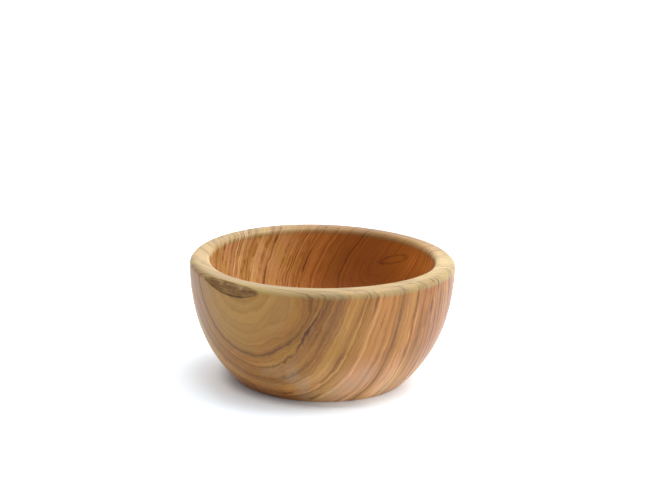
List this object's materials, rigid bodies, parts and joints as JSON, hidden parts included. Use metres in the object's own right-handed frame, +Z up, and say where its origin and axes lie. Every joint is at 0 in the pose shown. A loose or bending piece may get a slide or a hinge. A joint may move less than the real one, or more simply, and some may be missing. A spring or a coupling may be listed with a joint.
{
  "type": "wooden bowl",
  "caption": "Round turned wooden bowl with a thick rounded rim and a flat foot, which holds a ball of yarn while it unwinds, or small things on a table.",
  "frame": {"origin": "centre of the foot, on the surface that the bowl stands on", "axes": "+Z up through the open top, along the axis that the bowl was turned about; the bark patch on the rim is towards -X and -Y"},
  "size_m": [0.14, 0.14, 0.0658],
  "materials": {
    "olive_wood": "oiled satin, brown growth rings over honey-coloured wood, paler towards the bark side",
    "bark": "matt, rough and fibrous"
  },
  "bodies": {
    "root": {"bowl": "olive_wood", "bark_patch": "bark"}
  },
  "joints": []
}
